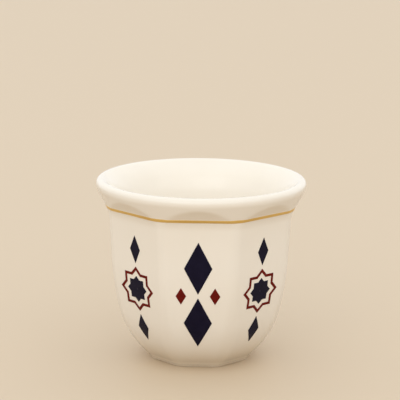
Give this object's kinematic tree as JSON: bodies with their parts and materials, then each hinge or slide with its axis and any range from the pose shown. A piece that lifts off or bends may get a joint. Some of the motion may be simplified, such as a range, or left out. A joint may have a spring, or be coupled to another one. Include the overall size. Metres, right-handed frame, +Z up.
{
  "type": "coffee cup",
  "caption": "Small handleless porcelain coffee cup with flat facets that fade into a round rolled lip, a gold line under the lip and printed ornament, for holding hot coffee.",
  "frame": {"origin": "middle of the foot ring, on the table plane", "axes": "+Z up along the axis of the cup, the middle of the front flat faces -Y"},
  "size_m": [0.066, 0.066, 0.0574],
  "materials": {
    "porcelain": "bare fired porcelain, fine matt",
    "glaze": "clear glossy glaze over cream white porcelain",
    "gold": "fired gold lustre, satin",
    "blue_enamel": "glossy navy on-glaze print",
    "red_enamel": "glossy dark red on-glaze print"
  },
  "bodies": {
    "root": {"porcelain_body": "porcelain", "glaze_coat": "glaze", "underside_glaze": "glaze", "gold_line": "gold", "blue_lozenges_1": "blue_enamel", "blue_lozenges_2": "blue_enamel", "blue_lozenges_3": "blue_enamel", "blue_lozenges_4": "blue_enamel", "red_lozenges_1": "red_enamel", "red_lozenges_2": "red_enamel", "red_lozenges_3": "red_enamel", "red_lozenges_4": "red_enamel", "red_star_1": "red_enamel", "red_star_2": "red_enamel", "red_star_3": "red_enamel", "red_star_4": "red_enamel", "blue_star_1": "blue_enamel", "blue_star_2": "blue_enamel", "blue_star_3": "blue_enamel", "blue_star_4": "blue_enamel"}
  },
  "joints": []
}
